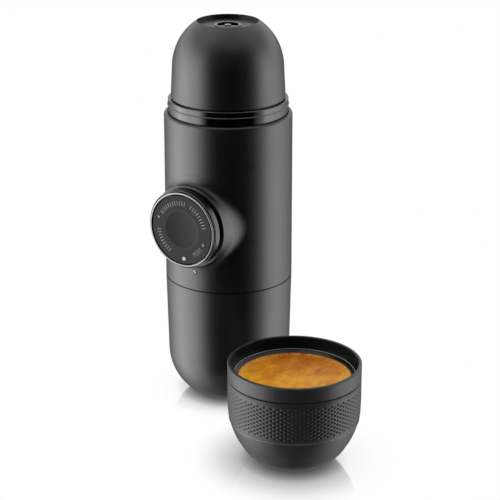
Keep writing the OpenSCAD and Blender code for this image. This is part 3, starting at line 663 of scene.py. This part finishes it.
def grip_band():
    """Ring with a knurled outside and a plain inside; also gives each point's height share."""
    columns = KNURL_PITS * KNURL_COLUMN_STEPS
    tall = band_high.z - band_low.z - LAND_TOP - LAND_LOW
    rows = round(tall / KNURL_PITCH)
    levels = rows * KNURL_ROW_STEPS
    start = band_low.z + LAND_LOW
    heights = [band_low.z, band_low.z + EDGE_TALL, start]
    heights += [start + tall * (i + 0.5) / levels for i in range(levels)]
    heights += [band_high.z - LAND_TOP, band_high.z - EDGE_TALL, band_high.z]
    points = []
    shares = []
    for column in range(columns):
        angle = TAU * column / columns
        out_way = Vector((math.cos(angle), math.sin(angle), 0))
        across = 2 * column / KNURL_COLUMN_STEPS
        for z in heights:
            up = (z - start) / tall * rows
            raised = knurl_height(across, up) if PLAIN_ROWS < up < rows - PLAIN_ROWS else 1.0
            r = BAND_OUTER - slimmer(z) - KNURL_DEPTH * (1 - raised)
            if z in (band_low.z, band_high.z):
                r -= EDGE_IN
            points.append(CUP_CENTRE + out_way * r + Z_WAY * z)
            shares.append(raised)
        for z in (band_high.z, band_low.z):
            r = BAND_OUTER - slimmer(z) - BAND_SINK
            points.append(CUP_CENTRE + out_way * r + Z_WAY * z)
            shares.append(INSIDE_SHARE)
    return points, loop_faces(columns, len(heights) + 2), shares


def knurl_material():
    """Grip band's plastic, paler on the land, with painted shade that darkens the pits."""
    material, tree, main = shade("knurl_matte", grey(0.02), rough=0.36, specular=0.29)
    height_share = add(tree, "ShaderNodeAttribute", attribute_name="height_share")
    grain = speckle(tree, 0.3 * MM, detail=2.0)
    # Painted shade: the pits are coloured near black, the land paler
    tint(tree, main, height_share.outputs["Fac"], grey(0.0008), (0.021, 0.021, 0.022))
    tree.links.new(by_noise(tree, grain, 0.34, 0.42), main.inputs["Roughness"])
    roughen(tree, main, grain, strength=0.4, depth=0.02 * MM)
    return material


points, faces, shares = grip_band()
knurl = make_piece("grip_knurl", points, faces, knurl_material(), "cup",
                   smooth_angle=60)
height_share = knurl.data.attributes.new("height_share", "FLOAT", "POINT")
height_share.data.foreach_set("value", shares)
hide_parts("cup_grip_band")

# Painted highlight: the thin raised lines below are coloured pale
# Thin raised lines, by radius, height and thickness: on the liner's step and under the grip band
STEP_LINE_R = 26.05 * MM
STEP_LINE_Z = 39.97 * MM
STEP_LINE_T = 0.20 * MM
EDGE_LINE_T = 0.16 * MM
EDGE_LINE_R = BAND_OUTER - slimmer(band_low.z) - EDGE_LINE_T
EDGE_LINE_Z = band_low.z + 0.05 * MM
LINE_SIDES = 10


def round_line(r, z, thick):
    """Closed round section of a thin raised line."""
    angles = [TAU * side / LINE_SIDES for side in range(LINE_SIDES)]
    return [(r + thick * math.cos(angle), z + thick * math.sin(angle)) for angle in angles]


points, faces = turned(round_line(STEP_LINE_R, STEP_LINE_Z, STEP_LINE_T), CUP_STEPS, CUP_CENTRE)
make_piece("liner_step_line", points, faces, edge_highlight, "cup", smooth_angle=60)
points, faces = turned(round_line(EDGE_LINE_R, EDGE_LINE_Z, EDGE_LINE_T), CUP_STEPS, CUP_CENTRE)
make_piece("grip_edge_line", points, faces, edge_highlight, "cup", smooth_angle=60)


# ---------------------------------------------------------------------------
# Espresso: an uneven crema with pale bubbles along its edge
# ---------------------------------------------------------------------------

coffee_low, coffee_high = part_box("espresso")
CREMA_R = (coffee_high.x - coffee_low.x) / 2
CREMA_CENTRE = Vector((CUP_CENTRE.x, CUP_CENTRE.y, coffee_high.z))
COFFEE_DEEP = 6 * MM
COFFEE_LOW_SHARE = 0.97
CREMA_RINGS = 40
CREMA_STEPS = 128
# Swells of the crema: waves per metre, height, and the noise's dimension, step and octaves
SWELL_SCALE = 160
SWELL_RISE = 0.12 * MM
SWELL_NOISE = (0.8, 2.2, 4)
# How far the crema's edge climbs the liner, and how late the swells end and the climb begins
EDGE_CLIMB = 0.35 * MM
SWELL_END_POWER = 6
CLIMB_POWER = 24

# Noise of the crema: size and share of each part
FOAM_SIZE = 7 * MM
FOAM_SHARE = 0.55
STREAK_SIZE = 2.4 * MM
STREAK_SHARE = 0.25
FINE_SIZE = 0.55 * MM
FINE_SHARE = 0.20
# Colours of the crema by its noise, from dark streaks to pale foam
CREMA_STOPS = ((0.38, (0.40, 0.110, 0.002)), (0.48, (0.56, 0.205, 0.006)),
               (0.60, (0.74, 0.335, 0.018)))
# Tone by the distance from a point towards the back of the crema, near which it is darker and redder
DARK_PATCH_AT = CREMA_CENTRE + Vector((-12 * MM, 20 * MM, 0))
DARK_PATCH_REACH = (3 * MM, 34 * MM)
DARK_PATCH_STOPS = ((0.0, (0.74, 0.54, 0.40)), (1.0, (1.0, 1.06, 1.0)))
# Bubbles near the edge: size and colour, how far from the crema's middle they begin and are
# full, and how far from its own middle, in sizes, each one begins and is full
BUBBLE_SIZE = 0.75 * MM
BUBBLE_COLOUR = (0.68, 0.42, 0.16)
BUBBLE_REACH = (0.82 * CREMA_R, 0.96 * CREMA_R)
BUBBLE_CORE = (0.50, 0.22)
# Dark line where the crema meets the liner
SHORE_COLOUR = (0.07, 0.018, 0.002)
SHORE_REACH = (0.968 * CREMA_R, 0.992 * CREMA_R)
SHORE_SHARE = 0.85


def crema_material():
    """Crema: foam, streaks and fine bubbles in brown and gold."""
    material, tree, main = shade("crema", (0.40, 0.17, 0.035), rough=0.45, specular=0.18)
    foam = speckle(tree, FOAM_SIZE, detail=5.0, rough=0.6, stretch=(1, 0.6, 1))
    streaks = speckle(tree, STREAK_SIZE, detail=5.0, rough=0.7, stretch=(1, 0.4, 1))
    fine = speckle(tree, FINE_SIZE, detail=3.0, rough=0.7)
    small = maths(tree, "ADD", maths(tree, "MULTIPLY", streaks, STREAK_SHARE),
                  maths(tree, "MULTIPLY", fine, FINE_SHARE))
    pattern = maths(tree, "ADD", maths(tree, "MULTIPLY", foam, FOAM_SHARE), small)
    off_dark_patch = distance_from(tree, DARK_PATCH_AT, (1, 1, 0))
    tone = ramp(tree, spread(tree, off_dark_patch, *DARK_PATCH_REACH, 0.0, 1.0), DARK_PATCH_STOPS)
    colour = blended(tree, 1.0, ramp(tree, pattern, CREMA_STOPS), tone, "MULTIPLY")
    off_centre = distance_from(tree, CREMA_CENTRE, (1, 1, 0))
    bubbles = add(tree, "ShaderNodeTexVoronoi")
    bubbles.inputs["Scale"].default_value = 1 / BUBBLE_SIZE
    place = add(tree, "ShaderNodeTexCoord")
    tree.links.new(place.outputs["Object"], bubbles.inputs["Vector"])
    near_edge = spread(tree, off_centre, *BUBBLE_REACH, 0.0, 1.0, smooth=True)
    in_bubble = spread(tree, bubbles.outputs["Distance"], *BUBBLE_CORE, 0.0, 1.0, smooth=True)
    colour = blended(tree, maths(tree, "MULTIPLY", near_edge, in_bubble), colour, BUBBLE_COLOUR)
    shore = spread(tree, off_centre, *SHORE_REACH, 0.0, SHORE_SHARE, smooth=True)
    colour = blended(tree, shore, colour, SHORE_COLOUR)
    tree.links.new(colour, main.inputs["Base Color"])
    roughen(tree, main, fine, strength=0.5, depth=0.10 * MM)
    return material


def coffee_disc():
    """A shallow body of coffee with a softly uneven top and a turned-up edge."""
    points = [CREMA_CENTRE]
    for ring in range(1, CREMA_RINGS + 1):
        share = ring / CREMA_RINGS
        for step in range(CREMA_STEPS):
            angle = TAU * step / CREMA_STEPS
            x = CREMA_R * share * math.cos(angle)
            y = CREMA_R * share * math.sin(angle)
            swell = noise.fractal(Vector((x, y, 0)) * SWELL_SCALE, *SWELL_NOISE) * SWELL_RISE
            swell *= 1 - share ** SWELL_END_POWER
            climb = EDGE_CLIMB * share ** CLIMB_POWER
            points.append(CREMA_CENTRE + Vector((x, y, swell + climb)))
    last = 1 + (CREMA_RINGS - 1) * CREMA_STEPS
    low = len(points)
    low_centre = CREMA_CENTRE - Z_WAY * COFFEE_DEEP
    for step in range(CREMA_STEPS):
        angle = TAU * step / CREMA_STEPS
        out_way = Vector((math.cos(angle), math.sin(angle), 0))
        points.append(low_centre + out_way * CREMA_R * COFFEE_LOW_SHARE)
    points.append(low_centre)
    faces = []
    for step in range(CREMA_STEPS):
        after = (step + 1) % CREMA_STEPS
        faces.append((0, 1 + step, 1 + after))
        for ring in range(CREMA_RINGS - 1):
            here = 1 + ring * CREMA_STEPS
            there = here + CREMA_STEPS
            faces.append((here + step, there + step, there + after, here + after))
        faces.append((last + step, low + step, low + after, last + after))
        faces.append((low + step, len(points) - 1, low + after))
    return points, faces


points, faces = coffee_disc()
coffee = make_piece("espresso_crema", points, faces, crema_material(), "cup",
                    smooth_angle=60)
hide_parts("espresso")
# Mirror rays don't see the crema, so its colour doesn't tint the gloss liner and the body
coffee.visible_glossy = False


# ---------------------------------------------------------------------------
# Blend between the body and the boss: a thin skin that leaves both smoothly
# ---------------------------------------------------------------------------

# Radius at which the skin follows the body, whose facets lie a little inside its round
SKIN_BODY_R = 28.98 * MM
# The boss flares towards the body along an arc: its radius at the front, where the arc starts from
# the capsule's axis, the arc's radius, and how far its centre is from the piston's axis
BOSS_R = 18.9 * MM
FLARE_AT = 31.3 * MM
FLARE_R = 34.106 * MM
FLARE_CENTRE = BOSS_R + FLARE_R
# Reach of the skin from the corner along the body and along the boss: above and below it, and
# at its sides
SKIN_ON_BODY = (4.4 * MM, 2.0 * MM)
SKIN_ON_BOSS = (2.0 * MM, 4.6 * MM)
# How far the skin stands over what it covers, and how deep its hidden back lies
SKIN_PROUD = 0.015 * MM
SKIN_SINK = 0.5 * MM
SKIN_STEPS = 144
SKIN_BENDS = 12
CORNER_TRIES = 40


def flare_radius(u):
    """Radius of the boss at a distance from the capsule's axis."""
    return FLARE_CENTRE - math.sqrt(FLARE_R ** 2 - (FLARE_AT - u) ** 2)


def body_depth(rho, spin):
    """Distance of the body's front from the capsule's axis, at a place round the piston's axis."""
    return math.sqrt(SKIN_BODY_R ** 2 - (rho * math.cos(spin)) ** 2)


def boss_point(rho, spin, u):
    """A point by its distance and angle from the piston's axis, and its distance to the front."""
    return Vector((rho * math.cos(spin), -u, AXIS_Z + rho * math.sin(spin)))


def between(pair, share):
    """The value at a share of the way from a pair's first to its second."""
    return pair[0] + (pair[1] - pair[0]) * share


def skin_section(spin):
    """Closed section of the skin at an angle about the piston's axis."""
    side = math.cos(spin) ** 2
    corner_u = SKIN_BODY_R
    for _ in range(CORNER_TRIES):
        corner_rho = flare_radius(corner_u)
        corner_u = body_depth(corner_rho, spin)
    start_rho = corner_rho + between(SKIN_ON_BODY, side)
    start = boss_point(start_rho, spin, body_depth(start_rho, spin))
    end_u = corner_u + between(SKIN_ON_BOSS, side)
    end = boss_point(flare_radius(end_u), spin, end_u)
    corner = boss_point(corner_rho, spin, corner_u)
    start_out = Vector((start.x, start.y, 0)).normalized()
    end_out = Vector((math.cos(spin), 0, math.sin(spin)))
    corner_out = (start_out + end_out).normalized()
    section = []
    for bend in range(SKIN_BENDS + 1):
        share = bend / SKIN_BENDS
        bent = start * (1 - share) ** 2 + corner * 2 * share * (1 - share) + end * share ** 2
        lift = (start_out * (1 - share) + end_out * share).normalized() * SKIN_PROUD
        section.append(bent + lift)
    section.append(end - end_out * SKIN_SINK)
    section.append(corner - corner_out * SKIN_SINK)
    section.append(start - start_out * SKIN_SINK)
    return section


points = []
for step in range(SKIN_STEPS):
    points += skin_section(TAU * step / SKIN_STEPS)
faces = loop_faces(SKIN_STEPS, len(points) // SKIN_STEPS)
make_piece("boss_blend", points, faces, body_matte, "housing", smooth_angle=50)


# ---------------------------------------------------------------------------
# Painted shade: dark rings in the seam above the tank and in the groove under the cup's rim band
# ---------------------------------------------------------------------------

SHADE_RING_DEEP = 0.3 * MM
SHADE_RING_STEPS = 192
TANK_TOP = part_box("tank_shell")[1].z
SEAM_R = BODY_R + 0.02 * MM
SEAM_LOW = TANK_TOP - 0.10 * MM
SEAM_HIGH = TANK_TOP + 0.42 * MM
GROOVE_R = BAND_OUTER - 0.25 * MM
GROOVE_LOW = band_high.z - 0.08 * MM
GROOVE_HIGH = band_high.z + 0.62 * MM


def gasket(r, low, high, centre):
    """Points and faces of a flat ring of painted shade whose outside is at r."""
    section = [(r - SHADE_RING_DEEP, low), (r, low), (r, high), (r - SHADE_RING_DEEP, high)]
    return turned(section, SHADE_RING_STEPS, centre)


# Painted shade: a near-black ring over the seam above the tank
points, faces = gasket(SEAM_R, SEAM_LOW, SEAM_HIGH, Vector((0, 0, 0)))
make_piece("seam_line", points, faces, gap_shade, "housing", smooth_angle=30)
# Painted shade: a near-black ring in the groove under the cup's rim band
points, faces = gasket(GROOVE_R, GROOVE_LOW, GROOVE_HIGH, CUP_CENTRE)
make_piece("groove_line", points, faces, gap_shade, "cup", smooth_angle=30)


# ---------------------------------------------------------------------------
# Valve springs: fine coils that ride on their valves
# ---------------------------------------------------------------------------

WIRE_R = 0.2 * MM
WIRE_SIDES = 10
COIL_TURNS = 4
# Flat part of the wire at each end, in turns
COIL_FLAT = 0.5
COIL_STEPS = 28


def coil(low, high):
    """Points and faces of a closed coil of wire that fills a box, with its ends laid flat."""
    middle = (low + high) / 2
    r = (high.x - low.x) / 2 - WIRE_R
    steps = COIL_TURNS * COIL_STEPS
    points = []
    for step in range(steps + 1):
        angle = TAU * step / COIL_STEPS
        share = (step / COIL_STEPS - COIL_FLAT) / (COIL_TURNS - 2 * COIL_FLAT)
        share = min(1.0, max(0.0, share))
        z = low.z + WIRE_R + (high.z - low.z - 2 * WIRE_R) * share
        out_way = Vector((math.cos(angle), math.sin(angle), 0))
        hub = Vector((middle.x, middle.y, z))
        for side in range(WIRE_SIDES):
            around = TAU * side / WIRE_SIDES
            out_by = r + WIRE_R * math.cos(around)
            points.append(hub + out_way * out_by + Z_WAY * WIRE_R * math.sin(around))
    faces = [tuple(range(WIRE_SIDES)), tuple(range(steps * WIRE_SIDES, (steps + 1) * WIRE_SIDES))]
    for step in range(steps):
        here = step * WIRE_SIDES
        there = here + WIRE_SIDES
        for side in range(WIRE_SIDES):
            after = (side + 1) % WIRE_SIDES
            faces.append((here + side, here + after, there + after, there + side))
    return points, faces


for valve in ("inlet", "outlet"):
    low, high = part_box(valve + "_spring")
    points, faces = coil(low, high)
    spring = make_piece(valve + "_coil", points, faces, steel, valve + "_valve",
                        smooth_angle=40)
    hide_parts(valve + "_spring")
    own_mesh(spring)


# ---------------------------------------------------------------------------
# Knob's bright ring, with a narrow chamfer inside and a rounded edge outside
# ---------------------------------------------------------------------------

ring_low, ring_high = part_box("knob_ring")
RING_OUT = (ring_high.x - ring_low.x) / 2
RING_IN = RING_OUT - 0.85 * MM
RING_FRONT = -ring_low.y
RING_BACK = -ring_high.y
RING_STEPS = 192
# Rounded outer edge: how far in from the outside and back from the front, in mm
RING_EDGE = ((0.0, 0.42), (0.05, 0.24), (0.16, 0.10), (0.34, 0.02), (0.50, 0.0))
CHAMFER_WIDE = 0.22 * MM
CHAMFER_DEEP = 0.20 * MM

ring_profile = [(RING_IN, RING_BACK), (RING_OUT, RING_BACK)]
ring_profile += [(RING_OUT - inward * MM, RING_FRONT - back * MM) for inward, back in RING_EDGE]
ring_profile += [(RING_IN + CHAMFER_WIDE, RING_FRONT), (RING_IN, RING_FRONT - CHAMFER_DEEP)]
points, faces = turned(ring_profile, RING_STEPS, Z_WAY * AXIS_Z, X_WAY, Z_WAY, -Y_WAY)
ring_bevel = make_piece("ring_bevel", points, faces, polished, "knob", smooth_angle=25)
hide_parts("knob_ring")


# ---------------------------------------------------------------------------
# Knob's face: a ring of plain tick marks, and a dark ring round the index dot
# ---------------------------------------------------------------------------

FACE_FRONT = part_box("knob_face")[0].y
TICK_IN = 11.3 * MM
TICK_OUT = 13.3 * MM
TICK_WIDE = 0.42 * MM
TICK_RISE = 0.10 * MM
TICK_SINK = 0.15 * MM
# Width of a tick's top as a share of its foot's
TICK_TAPER = 0.8
# First and last angle of each group of ticks, in degrees, and how many ticks it has
TICK_ARCS = ((14, 66, 9), (82, 148, 12), (-58, -36, 5), (188, 238, 9))


def face_ticks():
    """Low bars that point at the face's centre, in groups between the dots."""
    points = []
    faces = []
    for start, end, count in TICK_ARCS:
        for tick in range(count):
            angle = math.radians(start + (end - start) * tick / (count - 1))
            out_way = Vector((math.cos(angle), 0, math.sin(angle)))
            side = Vector((-math.sin(angle), 0, math.cos(angle))) * TICK_WIDE / 2
            base = len(points)
            for y, width in ((FACE_FRONT + TICK_SINK, 1.0), (FACE_FRONT - TICK_RISE, TICK_TAPER)):
                hub = Vector((0, y, AXIS_Z))
                points += [hub + out_way * TICK_IN + side * width,
                           hub + out_way * TICK_OUT + side * width,
                           hub + out_way * TICK_OUT - side * width,
                           hub + out_way * TICK_IN - side * width]
            faces += [tuple(range(base, base + 4)), tuple(range(base + 4, base + 8))]
            faces += [(base + i, base + (i + 1) % 4, base + 4 + (i + 1) % 4, base + 4 + i)
                      for i in range(4)]
    return points, faces


points, faces = face_ticks()
make_piece("face_ticks", points, faces, tick_grey, "knob", smooth_angle=20)

dot_low, dot_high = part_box("index_dot")
DOT_X = (dot_low.x + dot_high.x) / 2
DOT_Z = (dot_low.z + dot_high.z) / 2
DOT_R = (dot_high.x - dot_low.x) / 2
DOT_RING_STEPS = 48
# Section of the ring: distance out from the dot's edge and height over the body, in mm
DOT_RING = ((-0.12, -0.3), (-0.12, 0.32), (0.2, 0.3), (0.5, 0.03), (0.5, -0.3))


def dot_ring():
    """Points and faces of a ring that follows the body's round surface about the index dot."""
    points = []
    for step in range(DOT_RING_STEPS):
        angle = TAU * step / DOT_RING_STEPS
        for out_by, rise in DOT_RING:
            r = DOT_R + out_by * MM
            x = DOT_X + r * math.cos(angle)
            surface_r = BODY_R + rise * MM
            points.append((x, -math.sqrt(surface_r ** 2 - x * x), DOT_Z + r * math.sin(angle)))
    return points, loop_faces(DOT_RING_STEPS, len(DOT_RING))


points, faces = dot_ring()
make_piece("index_ring", points, faces, black_gloss, "housing", smooth_angle=30)
